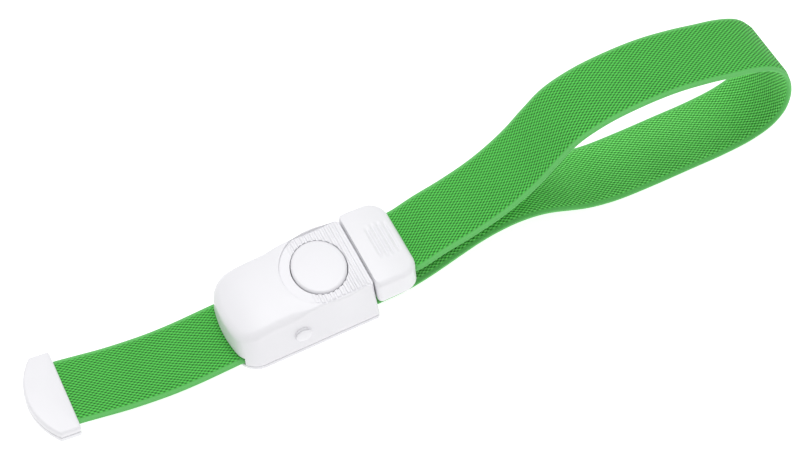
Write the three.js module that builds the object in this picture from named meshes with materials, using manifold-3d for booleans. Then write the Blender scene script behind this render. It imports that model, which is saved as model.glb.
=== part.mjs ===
// Elastic webbing tourniquet with a quick-release buckle.
// Millimetres, +Z up. The origin is the centre of the housing's underside, which rests on a table.
// +X runs from the buckle towards the arm loop, and Y runs across the webbing.
import * as THREE from 'three';
import { mergeVertices } from 'three/addons/utils/BufferGeometryUtils.js';
import Module from 'manifold-3d';

const wasm = await Module();
wasm.setup();

// ---------- Driving dimensions ----------

// General fits
const seatGap = 0.3;          // between pieces that sit on each other
const slideGap = 0.3;         // round the pieces that slide through a slot

// Webbing
const webWidth = 25;
const webThickness = 2.1;

// Housing
const housingLength = 45.5;
const housingMargin = 3.5;    // from the webbing's edge to the housing's side
const housingHeight = 17.4;
const sideDraft = 2;          // each side wall leans in by this much over the full height
const housingWall = 1.2;
const housingEdgeRadius = 2.4;
const housingCrown = 1.1;     // the top is this much lower along its long edges
const noseBulge = 2.6;        // the closed end bows out by this much in plan
const noseDrop = 3.2;         // and its top falls by this much
const noseDropLength = 15;
const noseCornerRadius = 5.5;
const mouthCornerRadius = 1.2;
const collarBulge = 0.8;        // the top swells into a round collar about the recess
const basePlateThickness = 1.5;
const basePlateInset = 0.25;

// Release button and the recess round it
const buttonLength = 17.4;    // along X
const buttonWidth = 20.6;     // along Y
const buttonX = 10;
const buttonProud = 0.3;        // above the housing's crown
const buttonTravel = 2;
const buttonClearance = 0.4;
const recessDepth = 0.9;
const recessX = 12.8;         // centre of the recess's round end
const recessArcMargin = 1.3;  // its radius, over the recess's half width
const recessRim = 0.1;        // from the recess's sides to the top of the housing's walls
const recessFloor = 1.4;      // thickness of the wall under the recess
const ribPitch = 1.7;
const ribWidth = 0.8;
const ribHeight = 0.4;
const buttonFootLength = 3;
const buttonFootWidth = 5;
const buttonFootOffset = -4;  // from the button's centre, along X
const buttonRim = 0.9;        // rounding of the button's edge
const buttonDome = 0.42;      // rise of its top inside that edge
const buttonSkirt = 1.4;      // thickness of its wall
const buttonTopWall = 2.2;
const buttonLip = 1.1;        // the lugs that keep it in the housing stand out by this much
const buttonLipHalfWidth = 2.5;
const buttonLipThickness = 0.8;

// Toothed clamp
const axleX = -3;
const axleRadius = 1;
const axleHeadRadius = 2.7;
const axleHeadHeight = 0.9;
const axleSeatRise = 0.2;     // flat seat that each head stands on
const axleSeatRim = 0.3;      // that the seat shows round the head
const clampHubRadius = 2.1;
const clampHubRise = 1.6;     // from the webbing's clearance to the hub
const clampReach = 9;         // from the axle to the last tooth
const clampTeeth = 5;
const clampToothDepth = 0.8;
const clampArmHalfWidth = 4.5;
const clampArmThickness = 1.5;
const clampSpringSpace = 5.2; // hub length given up to the torsion spring
const clampSideGap = 0.6;     // from the clamp's ends to the webbing's edges
const clampNoseHeight = 3;

// Inner frame, latch leaf and tongue
const frameThickness = 1;
const frameTop = 7.9;
const frameBarStart = -1;     // from the button's centre
const leafThickness = 0.4;
const leafArmInner = 7.6;
const leafArmInset = 1;       // from the prongs' outer edges to the leaf's
const leafRootLength = 4;
const leafBarWidth = 2.4;
const hookHeight = 1.9;
const hookOffset = -1.2;      // from the button's foot
const tongueThickness = 2;
const tongueInset = 0.5;      // each side, from the webbing's edge
const prongTipOffset = -3.25; // from the button's foot
const prongSlotHalfWidth = 7.2;
const prongLead = 1.6;        // chamfer of the prongs' tips
const prongWindowLength = 3.5;

// Clip
const clipLength = 15;
const clipMargin = 3.2;       // from the webbing's edge to the clip's side
const clipHeight = 17.4;      // top of its crown
const clipSeam = 0.3;         // to the housing
const clipWall = 1;
const clipPlateThickness = 1;
const clipSkirt = 1.1;        // the cover's walls reach this far below the plate
const clipCornerRadius = 6;
const clipEdgeRadius = 1.6;
const clipSeamEdge = 0.4;     // the edge at the seam is crisper
const clipCrown = 0.5;
const clipTopDrop = 1.3;      // its top falls by this much towards the webbing
const clipLevelLength = 3;    // level part of the top, next to the seam
const gripRidges = 4;
const gripPitch = 2;
const gripHalfLength = 8;
const gripDepth = 0.5;
const gripInset = 2.9;        // from the last ridge to the clip's end
const ridgeWidth = 0.6;
const scoopHalfLength = 4.4;
const scoopHalfWidth = 9;
const barRadius = 0.8;
const barInset = 6.25;        // from the seam end of the clip
const barClearance = 0.25;
const eyeWall = 1.35;         // the webbing is squeezed where it is sewn round the bar
const earHalfLength = 2;
const earThickness = 0.9;

// End tab
const tabMargin = 3;          // from the webbing's edge to the tab's side
const tabSide = 6.5;          // straight part of its sides
const tabBulge = 5.8;         // of its outer edge
const tabHalfThickness = 2.6; // each of its two shells
const tabCrown = 0.3;
const tabEdgeRadius = 1;
const tabTilt = 9;            // degrees, nose up
const tabOverlap = 7.5;       // webbing held between the shells
const tabPegRadius = 0.7;
const tabPegSpacing = 12;
const tabPegInset = 0.5;      // from the pocket to the pegs
const tabPegHeight = 1;

// Springs
const buttonSpringRadius = 3;
const buttonSpringWire = 0.3;
const buttonSpringTurns = 4;
const buttonSpringOffset = 3; // from the button's centre, along X
const clampSpringRadius = 1.75;
const clampSpringWire = 0.25;
const clampSpringTurns = 4;

// Lower face of the webbing's loop in the XZ plane, from the clip round to the housing's mouth.
// Each point is [distance from the mouth along X, height above the table].
const loopRoute = [
  [13.25, 10.25], [17.25, 10.45], [25.25, 12.95], [35.25, 15.35], [45.25, 18.75], [52.25, 22.35],
  [59.25, 27.15], [66.25, 33.55], [73.25, 39.15], [83.25, 42.55], [95.25, 43.75], [107.25, 43.35],
  [118.25, 41.35], [127.25, 38.95], [136.25, 36.35], [143.25, 32.75], [147.85, 27.55], [149.95, 21.35],
  [150.15, 14.75], [148.25, 8.75], [143.85, 4.15], [136.75, 1.35], [126.25, 0.15], [113.25, 0.1],
  [100.25, 0.1], [88.25, 0.65], [81.25, 1.95], [75.25, 3.85], [69.25, 6.65], [63.25, 9.55],
  [57.25, 11.45], [50.25, 12.25], [43.25, 11.75], [37.25, 10.45], [31.25, 8.45], [24.25, 5.85],
  [17.25, 3.55], [10.25, 2.05],
];

// Lower face of the free tail, from the housing's closed end towards the end tab
const tailRoute = [
  [-3.25, 1.7], [-9.25, 1.4], [-15.25, 1.2], [-23.25, 1.45], [-31.25, 2.45], [-39.25, 3.95], [-47.25, 6.05],
];
const tabEdgeDistance = 54.25; // from the closed end to the tab's straight edge
const tabEdgeZ = 8.9;

// ---------- Levels and places that follow from them ----------

const halfLength = housingLength / 2;
const webHalf = webWidth / 2;
const halfWidth = webHalf + housingMargin;
const tongueHalfWidth = webHalf - tongueInset;
const leafArmOuter = tongueHalfWidth - leafArmInset;
const recessHalfWidth = halfWidth - sideDraft - recessRim;
const recessRadius = recessHalfWidth + recessArcMargin;
const collarRadius = halfWidth - sideDraft + collarBulge;
const clipHalfWidth = webHalf + clipMargin;
const tabHalfWidth = webHalf + tabMargin;
const webBottom = basePlateThickness + seatGap;
const webCentre = webBottom + webThickness / 2;
const webTop = webBottom + webThickness;
const channelHalf = webHalf + slideGap;
const axleZ = webTop + seatGap + clampHubRise + clampHubRadius;
const buttonFootX = buttonX + buttonFootOffset;
const buttonSpringX = buttonX + buttonSpringOffset;
const coverBottom = basePlateThickness + seatGap;
const railTop = frameTop - frameThickness - seatGap;
const leafBottom = frameTop + seatGap;
const leafTop = leafBottom + leafThickness;
const tongueBottom = leafTop + seatGap;
const tongueTop = tongueBottom + tongueThickness;
const recessZ = housingHeight - recessDepth;
const ceilingZ = recessZ - recessFloor;
const buttonTop = housingHeight + buttonProud;
const buttonBottom = tongueTop + slideGap + buttonTravel;
const clipStart = halfLength + clipSeam;
const clipEnd = clipStart + clipLength;
const clipPlateTop = tongueBottom + clipPlateThickness;
const clipCoverBottom = tongueBottom - clipSkirt;
const eyeRadius = barRadius + barClearance + eyeWall;
const barX = clipStart + barInset;
const barZ = clipPlateTop + seatGap + eyeRadius;
const clipWebZ = loopRoute[0][1] + webThickness / 2;
const tabEdgeX = -halfLength - tabEdgeDistance;
const splitX = halfLength - 2.5;   // the webbing's two parts meet here, inside the mouth
const loopEntry = 3;               // length of webbing that runs level out of the mouth
const circleSteps = 20;
const cut = 1;                     // how far a cutting body reaches past what it cuts

const axleSeat = halfWidth - sideLean(axleZ) + axleSeatRise;

function sideLean(z) {
  return sideDraft * z / housingHeight;
}

function inOrder(a, b) {
  return a < b ? [a, b] : [b, a];
}

// ---------- Helpers ----------

function solid(geometry) {
  const bare = geometry.clone();
  for (const name of ['normal', 'uv']) bare.deleteAttribute(name);
  const merged = mergeVertices(bare, 1e-5);
  return new wasm.Manifold(new wasm.Mesh({
    numProp: 3,
    vertProperties: new Float32Array(merged.attributes.position.array),
    triVerts: new Uint32Array(merged.index.array),
  }));
}

function toGeometry(body) {
  const mesh = body.getMesh();
  const geometry = new THREE.BufferGeometry();
  geometry.setAttribute('position', new THREE.BufferAttribute(new Float32Array(mesh.vertProperties), 3));
  geometry.setIndex(new THREE.BufferAttribute(new Uint32Array(mesh.triVerts), 1));
  geometry.computeVertexNormals();
  return geometry;
}

function block(x0, x1, y0, y1, z0, z1) {
  const geometry = new THREE.BoxGeometry(x1 - x0, y1 - y0, z1 - z0);
  geometry.translate((x0 + x1) / 2, (y0 + y1) / 2, (z0 + z1) / 2);
  return solid(geometry);
}

function shapeOf(points) {
  return new THREE.Shape(points.map(([u, v]) => new THREE.Vector2(u, v)));
}

// An outline in plan, raised from z0 to z1
function plate(points, z0, z1) {
  const geometry = new THREE.ExtrudeGeometry(shapeOf(points), { depth: z1 - z0, bevelEnabled: false });
  geometry.translate(0, 0, z0);
  return solid(geometry);
}

// An outline in the XZ plane, from y0 to y1
function profile(points, y0, y1) {
  const geometry = new THREE.ExtrudeGeometry(shapeOf(points), { depth: y1 - y0, bevelEnabled: false });
  geometry.rotateX(Math.PI / 2);
  geometry.translate(0, y1, 0);
  return solid(geometry);
}

function roundBar(radius, x, z, y0, y1) {
  const geometry = new THREE.CylinderGeometry(radius, radius, y1 - y0, circleSteps);
  geometry.translate(x, (y0 + y1) / 2, z);
  return solid(geometry);
}

function ellipse(x, y, radiusX, radiusY, steps = 2 * circleSteps) {
  return Array.from({ length: steps }, (_, i) => {
    const angle = 2 * Math.PI * i / steps;
    return [x + radiusX * Math.cos(angle), y + radiusY * Math.sin(angle)];
  });
}

// Round-cornered outline in plan, anticlockwise, with a bow in its left end
function roundedPlan({ left, right, half, leftRadius, rightRadius, bow = 0, sideSteps = 6 }) {
  const cornerSteps = 5;
  const corners = [
    [right - rightRadius, -half + rightRadius, rightRadius, -90],
    [right - rightRadius, half - rightRadius, rightRadius, 0],
    [left + leftRadius, half - leftRadius, leftRadius, 90],
    [left + leftRadius, -half + leftRadius, leftRadius, 180],
  ];
  const points = [];
  corners.forEach(([x, y, radius, start], corner) => {
    for (let i = 0; i <= cornerSteps; i++) {
      const angle = THREE.MathUtils.degToRad(start + 90 * i / cornerSteps);
      points.push([x + radius * Math.cos(angle), y + radius * Math.sin(angle)]);
    }
    const from = points[points.length - 1];
    const next = corners[(corner + 1) % corners.length];
    const angle = THREE.MathUtils.degToRad(next[3]);
    const to = [next[0] + next[2] * Math.cos(angle), next[1] + next[2] * Math.sin(angle)];
    for (let i = 1; i < sideSteps; i++) {
      const t = i / sideSteps;
      points.push([from[0] + t * (to[0] - from[0]), from[1] + t * (to[1] - from[1])]);
    }
  });
  const middle = (left + right) / 2;
  return points.map(([x, y]) => {
    const share = Math.max(0, (middle - x) / (middle - left));
    return [x - bow * share ** 4 * (1 - (y / half) ** 2), y];
  });
}

// A closed skin through rings of [x, y, z] points, lowest first, with a flat bottom and a top centre
function loft(rings, topPoint) {
  const count = rings[0].length;
  const positions = rings.flat(2);
  const index = [];
  for (let r = 0; r + 1 < rings.length; r++) {
    for (let i = 0; i < count; i++) {
      const a = r * count + i;
      const b = r * count + (i + 1) % count;
      index.push(a, b, b + count, a, b + count, a + count);
    }
  }
  const mean = (ring, axis) => ring.reduce((sum, point) => sum + point[axis], 0) / count;
  const bottom = positions.length / 3;
  positions.push(mean(rings[0], 0), mean(rings[0], 1), mean(rings[0], 2));
  const top = bottom + 1;
  positions.push(...topPoint);
  const last = (rings.length - 1) * count;
  for (let i = 0; i < count; i++) {
    const j = (i + 1) % count;
    index.push(bottom, j, i, top, last + i, last + j);
  }
  const geometry = new THREE.BufferGeometry();
  geometry.setAttribute('position', new THREE.Float32BufferAttribute(positions, 3));
  geometry.setIndex(index);
  return solid(geometry);
}

// A shell's outer form: drafted walls, a rounded edge and a crowned top
function crownedForm({ planAt, bottomZ, edgeRadius, topAt, centre }) {
  const edgeSteps = 4;
  const rings = [planAt(bottomZ, 0).map(([x, y]) => [x, y, bottomZ])];
  for (let i = 0; i <= edgeSteps; i++) {
    const angle = Math.PI / 2 * i / edgeSteps;
    const inset = edgeRadius * (1 - Math.cos(angle));
    const drop = edgeRadius * (1 - Math.sin(angle));
    rings.push(planAt(null, inset).map(([x, y]) => [x, y, topAt(x, y) - drop]));
  }
  const rim = planAt(null, edgeRadius);
  for (const share of [0.8, 0.55, 0.28]) {
    rings.push(rim.map(([x, y]) => {
      const px = centre + share * (x - centre);
      const py = share * y;
      return [px, py, topAt(px, py)];
    }));
  }
  return loft(rings, [centre, 0, topAt(centre, 0)]);
}

// A band of the webbing: the centre line thickened both ways, across the full width
function band(curvePoints, thickness, halfSpan) {
  const places = curvePoints.map(([x, z]) => new THREE.Vector3(x, z, 0));
  const curve = new THREE.CatmullRomCurve3(places, false, 'centripetal');
  const stepLength = 4.5;
  const steps = Math.ceil(curve.getLength() / stepLength);
  const upper = [];
  const lower = [];
  for (let i = 0; i <= steps; i++) {
    const point = curve.getPointAt(i / steps);
    const tangent = curve.getTangentAt(i / steps);
    const offset = thickness / 2;
    upper.push([point.x - tangent.y * offset, point.y + tangent.x * offset]);
    lower.push([point.x + tangent.y * offset, point.y - tangent.x * offset]);
  }
  return profile([...upper, ...lower.reverse()], -halfSpan, halfSpan);
}

// A round wire bent along a list of 3-D points
function wire(points, radius, steps) {
  const places = points.map((point) => new THREE.Vector3(...point));
  const curve = new THREE.CatmullRomCurve3(places, false, 'centripetal');
  const section = shapeOf(ellipse(0, 0, radius, radius, 6));
  return solid(new THREE.ExtrudeGeometry(section, { steps, extrudePath: curve, bevelEnabled: false }));
}

// ---------- Housing ----------

function housingPlan(inset, lean) {
  return roundedPlan({
    left: -halfLength + inset + lean / 2,
    right: halfLength - inset,
    half: halfWidth - inset - lean,
    leftRadius: noseCornerRadius - Math.min(inset, noseCornerRadius - 1.5),
    rightRadius: Math.max(mouthCornerRadius - inset, 0.4),
    bow: noseBulge,
    sideSteps: 18,
  });
}

// The plan at the top: its long sides swell out to the collar about the button
function housingTopPlan(inset) {
  const radius = collarRadius - inset;
  return housingPlan(inset, sideLean(housingHeight)).map(([x, y]) => {
    const reach = Math.sqrt(Math.max(0, radius ** 2 - (x - recessX) ** 2));
    const onSide = Math.abs(y) > halfWidth - inset - sideDraft - 0.01;
    return [x, onSide ? Math.sign(y) * Math.max(Math.abs(y), reach) : y];
  });
}

function housingTop(x, y, inset = 0) {
  const level = Math.max(0, 1 - ((x - recessX) / collarRadius) ** 2);
  const across = housingCrown * (1 - level) * (y / halfWidth) ** 2;
  const along = Math.max(0, (-halfLength + noseDropLength - x) / noseDropLength);
  return housingHeight - inset - across - noseDrop * along ** 2;
}

function housingForm(inset, bottomZ) {
  return crownedForm({
    planAt: (z, edge) => (z === null ? housingTopPlan(inset + edge) : housingPlan(inset + edge, sideLean(z))),
    bottomZ,
    edgeRadius: Math.max(housingEdgeRadius - inset, 0.8),
    topAt: (x, y) => housingTop(x, y, inset),
    centre: 0,
  });
}

function recessHalfAt(x) {
  const reach = recessRadius ** 2 - Math.min(0, x - recessX) ** 2;
  return Math.min(recessHalfWidth, Math.sqrt(Math.max(0, reach)));
}

// The recess round the button: round at one end, open at the housing's mouth
function recessOutline() {
  const start = Math.PI - Math.asin(recessHalfWidth / recessRadius);
  const steps = 16;
  const arc = Array.from({ length: steps + 1 }, (_, i) => {
    const angle = start + 2 * (Math.PI - start) * i / steps;
    return [recessX + recessRadius * Math.cos(angle), recessRadius * Math.sin(angle)];
  });
  return [...arc, [halfLength + cut, -recessHalfWidth], [halfLength + cut, recessHalfWidth]];
}

function recessRibs() {
  const first = recessX - recessRadius + ribPitch;
  const ribs = [];
  for (let x = first; x < halfLength - ribWidth; x += ribPitch) {
    const half = recessHalfAt(x - ribWidth / 2) - 0.4;
    ribs.push(block(x - ribWidth / 2, x + ribWidth / 2, -half, half, recessZ - 0.2, recessZ + ribHeight));
  }
  return ribs;
}

function buttonOutline(grow) {
  return ellipse(buttonX, 0, buttonLength / 2 + grow, buttonWidth / 2 + grow);
}

function makeHousingCover() {
  let cover = housingForm(0, coverBottom);
  const ceiling = block(-halfLength - noseBulge, halfLength + cut, -collarRadius, collarRadius,
    coverBottom - cut, ceilingZ);
  cover = cover.subtract(housingForm(housingWall, coverBottom - 1).intersect(ceiling));
  cover = cover.subtract(plate(recessOutline(), recessZ, housingHeight + 1));
  for (const rib of recessRibs()) cover = cover.add(rib.intersect(housingForm(0, coverBottom)));
  cover = cover.subtract(plate(buttonOutline(buttonClearance), ceilingZ - 1, housingHeight + 1));
  const slotHalf = tongueHalfWidth + slideGap;
  const slotDepth = 4;
  cover = cover.subtract(block(halfLength - slotDepth, halfLength + cut, -slotHalf, slotHalf,
    tongueBottom - slideGap, tongueTop + slideGap));
  cover = cover.subtract(block(halfLength - slotDepth, halfLength + cut, -channelHalf, channelHalf,
    coverBottom - cut, railTop));
  cover = cover.subtract(block(-halfLength - noseBulge - cut, -halfLength + slotDepth, -channelHalf,
    channelHalf, coverBottom - cut, webTop + 2 * slideGap));
  for (const side of [-1, 1]) {
    cover = cover.add(roundBar(axleHeadRadius + axleSeatRim, axleX, axleZ,
      ...inOrder(side * axleSeat, side * (axleSeat - housingWall))));
  }
  return cover.subtract(roundBar(axleRadius + slideGap, axleX, axleZ, -axleSeat - cut, axleSeat + cut));
}

function makeHousingBase() {
  let base = plate(housingPlan(basePlateInset, 0), 0, basePlateThickness);
  const innerHalf = halfWidth - sideLean(railTop) - housingWall - seatGap;
  const railStart = -halfLength + noseCornerRadius + 0.5;
  for (const side of [-1, 1]) {
    base = base.add(block(railStart, halfLength - 3, ...inOrder(side * channelHalf, side * innerHalf),
      basePlateThickness - 0.2, railTop));
  }
  return base;
}

function makeInnerFrame() {
  const half = halfWidth - sideLean(frameTop) - housingWall - seatGap;
  const right = halfLength - housingWall - seatGap;
  const armInner = leafArmOuter + seatGap;
  const barStart = buttonX + frameBarStart;
  let frame = block(barStart, right, -half, half, frameTop - frameThickness, frameTop);
  for (const side of [-1, 1]) {
    frame = frame.add(block(0, barStart + 0.5, ...inOrder(side * armInner, side * half),
      frameTop - frameThickness, frameTop));
  }
  return frame;
}

function makeLatchLeaf() {
  const right = halfLength - housingWall - 1;
  const rootStart = right - leafRootLength;
  const hookX = buttonFootX + hookOffset;
  let leaf = block(rootStart, right, -leafArmOuter, leafArmOuter, leafBottom, leafTop);
  leaf = leaf.add(block(hookX, hookX + leafBarWidth, -leafArmOuter, leafArmOuter, leafBottom, leafTop));
  for (const side of [-1, 1]) {
    const [y0, y1] = inOrder(side * leafArmInner, side * leafArmOuter);
    leaf = leaf.add(block(hookX, rootStart + 0.5, y0, y1, leafBottom, leafTop));
    const ramp = profile([
      [hookX, leafTop - 0.1], [hookX + 1.4, leafTop - 0.1],
      [hookX + 1.4, leafTop + hookHeight], [hookX + 0.7, leafTop + hookHeight],
    ], y0 + 0.5, y1 - 0.5);
    leaf = leaf.add(ramp);
  }
  return leaf;
}

function makeButton() {
  const half = buttonLength / 2;
  const edgeTop = buttonTop - buttonDome;
  const level = (z, inset) => ellipse(buttonX, 0, half - inset, buttonWidth / 2 - inset)
    .map(([x, y]) => [x, y, z]);
  let button = loft([
    level(buttonBottom, 0),
    level(edgeTop - buttonRim, 0),
    level(edgeTop - 0.45 * buttonRim, 0.25 * buttonRim),
    level(edgeTop, buttonRim),
    level(buttonTop - 0.3 * buttonDome, 3.4 * buttonRim),
  ], [buttonX, 0, buttonTop]);
  const hollow = ellipse(buttonX, 0, half - buttonSkirt, buttonWidth / 2 - buttonSkirt);
  const underside = buttonTop - buttonTopWall;
  button = button.subtract(plate(hollow, buttonBottom - cut, underside));
  const lipTop = Math.min(buttonBottom + buttonLipThickness, ceilingZ - seatGap);
  for (const side of [-1, 1]) {
    const root = buttonX + side * (half - buttonSkirt / 2);
    const tip = buttonX + side * (half + buttonLip);
    button = button.add(block(...inOrder(root, tip), -buttonLipHalfWidth, buttonLipHalfWidth,
      buttonBottom, lipTop));
  }
  const rootTop = underside + buttonTopWall / 4;
  const footBottom = leafTop + seatGap;
  button = button.add(block(buttonFootX - buttonFootLength / 2, buttonFootX + buttonFootLength / 2,
    -buttonFootWidth / 2, buttonFootWidth / 2, footBottom, rootTop));
  const stemBottom = buttonBottom - 1;
  const stemRadius = buttonSpringRadius - 1;
  const stem = new THREE.CylinderGeometry(stemRadius, stemRadius, rootTop - stemBottom, circleSteps);
  stem.rotateX(Math.PI / 2);
  stem.translate(buttonSpringX, 0, (rootTop + stemBottom) / 2);
  return button.add(solid(stem));
}

function makeButtonSpring() {
  const bottom = frameTop + seatGap + buttonSpringWire;
  const top = buttonTop - buttonTopWall - seatGap - buttonSpringWire;
  const perTurn = 12;
  const count = buttonSpringTurns * perTurn;
  const points = Array.from({ length: count + 1 }, (_, i) => {
    const angle = 2 * Math.PI * i / perTurn;
    return [buttonSpringX + buttonSpringRadius * Math.cos(angle), buttonSpringRadius * Math.sin(angle),
      bottom + (top - bottom) * i / count];
  });
  return wire(points, buttonSpringWire, count);
}

// ---------- Toothed clamp ----------

function makeClamp() {
  const halfSpan = webHalf - clampSideGap;
  const hubEnd = halfSpan - clampSpringSpace;
  const bottom = webTop + seatGap;
  const tip = axleX - clampReach;
  const toothPitch = (clampReach - 1) / clampTeeth;
  const teeth = [];
  for (let i = 0; i < clampTeeth; i++) {
    teeth.push([tip + i * toothPitch, bottom], [tip + (i + 0.8) * toothPitch, bottom + clampToothDepth]);
  }
  const nose = [[axleX, axleZ + clampHubRadius - 0.1], [tip + 1, bottom + clampNoseHeight], ...teeth,
    [axleX, bottom + 0.15]];
  let clamp = profile(nose, -halfSpan, halfSpan);
  clamp = clamp.add(roundBar(clampHubRadius, axleX, axleZ, -halfSpan, hubEnd));
  const armTop = leafBottom - seatGap;
  const armEnd = buttonFootX + buttonFootLength / 2;
  clamp = clamp.add(block(axleX, armEnd, -clampArmHalfWidth, clampArmHalfWidth,
    armTop - clampArmThickness, armTop));
  const wellRadius = clampSpringRadius + clampSpringWire + slideGap;
  clamp = clamp.subtract(roundBar(wellRadius, axleX, axleZ, hubEnd, halfSpan + cut));
  clamp = clamp.subtract(block(axleX - 0.5, axleX + 2 * wellRadius, hubEnd, halfSpan + cut,
    bottom - cut, axleZ + 2 * wellRadius));
  return clamp.subtract(roundBar(axleRadius + slideGap, axleX, axleZ, -halfSpan - cut, halfSpan + cut));
}

function makeClampSpring() {
  const start = webHalf - clampSideGap - clampSpringSpace + clampSpringWire + seatGap;
  const end = webHalf - clampSideGap - clampSpringWire - 0.1;
  const perTurn = 12;
  const count = clampSpringTurns * perTurn;
  const points = Array.from({ length: count + 1 }, (_, i) => {
    const angle = 2 * Math.PI * i / perTurn;
    return [axleX + clampSpringRadius * Math.cos(angle), start + (end - start) * i / count,
      axleZ + clampSpringRadius * Math.sin(angle)];
  });
  return wire(points, clampSpringWire, count);
}

function axleHead(side) {
  const brim = axleHeadHeight / 3;
  const domeSteps = 4;
  const dome = Array.from({ length: domeSteps }, (_, i) => {
    const angle = Math.PI / 2 * i / domeSteps;
    return [axleHeadRadius * Math.cos(angle), brim + (axleHeadHeight - brim) * Math.sin(angle)];
  });
  const outline = [[0, 0], [axleHeadRadius, 0], ...dome, [0, axleHeadHeight]];
  const head = new THREE.LatheGeometry(outline.map(([u, v]) => new THREE.Vector2(u, v)), circleSteps);
  if (side < 0) head.rotateX(Math.PI);
  head.translate(axleX, side * (axleSeat + seatGap), axleZ);
  return solid(head);
}

function makeAxle() {
  return axleHead(-1).add(roundBar(axleRadius, axleX, axleZ, -axleSeat - seatGap - 0.1, axleSeat));
}

function makeAxleCap() {
  return axleHead(1);
}

// ---------- Clip ----------

function clipPlan(inset, edge = 0) {
  return roundedPlan({
    left: clipStart + inset + Math.min(edge, clipSeamEdge),
    right: clipEnd - inset - edge,
    half: clipHalfWidth - inset - edge,
    leftRadius: Math.max(0.8 - inset, 0.3),
    rightRadius: Math.max(clipCornerRadius - inset - edge, 1),
  });
}

function clipTop(x, y, inset = 0) {
  const across = clipCrown * (y / clipHalfWidth) ** 2;
  const along = Math.max(0, (x - clipStart - clipLevelLength) / (clipLength - clipLevelLength));
  return clipHeight - inset - across - clipTopDrop * along ** 2;
}

function clipForm(inset, bottomZ) {
  return crownedForm({
    planAt: (z, edge) => clipPlan(inset, edge),
    bottomZ,
    edgeRadius: Math.max(clipEdgeRadius - inset, 0.7),
    topAt: (x, y) => clipTop(x, y, inset),
    centre: clipStart + clipLength / 2,
  });
}

function makeClipCover() {
  let cover = clipForm(0, clipCoverBottom);
  cover = cover.subtract(clipForm(clipWall, clipCoverBottom - cut));
  const middle = (gripRidges - 1) / 2;
  const scoopX = clipEnd - gripInset - gripPitch * middle;
  const scoop = new THREE.SphereGeometry(1, 24, 12);
  scoop.scale(scoopHalfLength, scoopHalfWidth, gripDepth);
  scoop.translate(scoopX, 0, clipTop(scoopX, 0) + 0.05);
  cover = cover.subtract(solid(scoop));
  for (let i = 0; i < gripRidges; i++) {
    const x = scoopX + (i - middle) * gripPitch;
    const half = gripHalfLength - 0.5 * Math.abs(i - middle);
    const top = clipTop(x, 0) - 0.1;
    cover = cover.add(block(x - ridgeWidth / 2, x + ridgeWidth / 2, -half, half, top - clipWall + 0.2, top));
  }
  const slotTop = clipWebZ + webThickness / 2 + 2 * slideGap;
  cover = cover.subtract(block(clipEnd - clipCornerRadius, clipEnd + cut, -channelHalf, channelHalf,
    clipCoverBottom - cut, slotTop));
  const bridgeHalf = tongueHalfWidth + slideGap;
  return cover.subtract(block(clipStart - cut, clipStart + clipWall + cut, -bridgeHalf, bridgeHalf,
    clipCoverBottom - cut, clipPlateTop + seatGap));
}

function makeClipBase() {
  let base = plate(clipPlan(clipWall + seatGap), tongueBottom, clipPlateTop);
  const left = buttonFootX + prongTipOffset;
  const root = buttonSpringX + buttonSpringRadius + 1.2;
  for (const side of [-1, 1]) {
    const inner = side * prongSlotHalfWidth;
    const outer = side * tongueHalfWidth;
    const outline = [[root, inner], [left, inner + side * prongLead], [left, outer - side * prongLead],
      [left + prongLead, outer], [root, outer]];
    base = base.add(plate(side > 0 ? outline.reverse() : outline, tongueBottom, tongueTop));
  }
  const bridgeStart = root - 0.5;
  const bridgeEnd = clipStart - clipSeam - 0.1;
  base = base.add(block(bridgeStart, clipStart + clipWall + 2, -tongueHalfWidth, tongueHalfWidth,
    tongueBottom, clipPlateTop));
  base = base.add(block(bridgeStart, bridgeEnd, -tongueHalfWidth, tongueHalfWidth, tongueBottom, tongueTop));
  const windowStart = buttonFootX + hookOffset - seatGap;
  const windowEdge = 0.2;
  for (const side of [-1, 1]) {
    base = base.subtract(block(windowStart, windowStart + prongWindowLength,
      ...inOrder(side * (leafArmInner + windowEdge), side * (leafArmOuter - windowEdge)),
      tongueBottom - cut, tongueTop + cut));
  }
  const post = barRadius + seatGap;
  for (const side of [-1, 1]) {
    const [y0, y1] = inOrder(side * channelHalf, side * (channelHalf + earThickness));
    let ear = block(barX - earHalfLength, barX + earHalfLength, y0, y1, clipPlateTop - 0.1, barZ + post);
    ear = ear.subtract(roundBar(post, barX, barZ, y0 - cut, y1 + cut));
    base = base.add(ear.subtract(block(barX - post, barX + post, y0 - cut, y1 + cut, barZ, barZ + 2 * post)));
  }
  return base;
}

function makeAnchorBar() {
  const half = channelHalf + earThickness;
  return roundBar(barRadius, barX, barZ, -half, half);
}

// ---------- Webbing ----------

function makeLoop() {
  const centreLine = loopRoute.map(([x, z]) => [halfLength + x, z + webThickness / 2]);
  const toBar = [[barX, barZ - eyeRadius + webThickness / 2 + seatGap], [barX + 3, clipWebZ]];
  const toMouth = [[halfLength + loopEntry, webCentre], [splitX, webCentre]];
  const route = [...toBar, ...centreLine, ...toMouth];
  let loop = band(route, webThickness, webHalf);
  loop = loop.add(roundBar(eyeRadius, barX, barZ, -webHalf, webHalf));
  return loop.subtract(roundBar(barRadius + barClearance, barX, barZ, -webHalf - 1, webHalf + 1));
}

const tilt = THREE.MathUtils.degToRad(tabTilt);

function makeTail() {
  const start = [[splitX - seatGap, webCentre], [0, webCentre], [-halfLength, webCentre]];
  const centreLine = tailRoute.map(([x, z]) => [x - halfLength, z + webThickness / 2]);
  const held = [tabEdgeX - tabOverlap * Math.cos(tilt), tabEdgeZ + tabOverlap * Math.sin(tilt)];
  return band([...start, ...centreLine, [tabEdgeX, tabEdgeZ], held], webThickness, webHalf);
}

// ---------- End tab ----------

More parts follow.
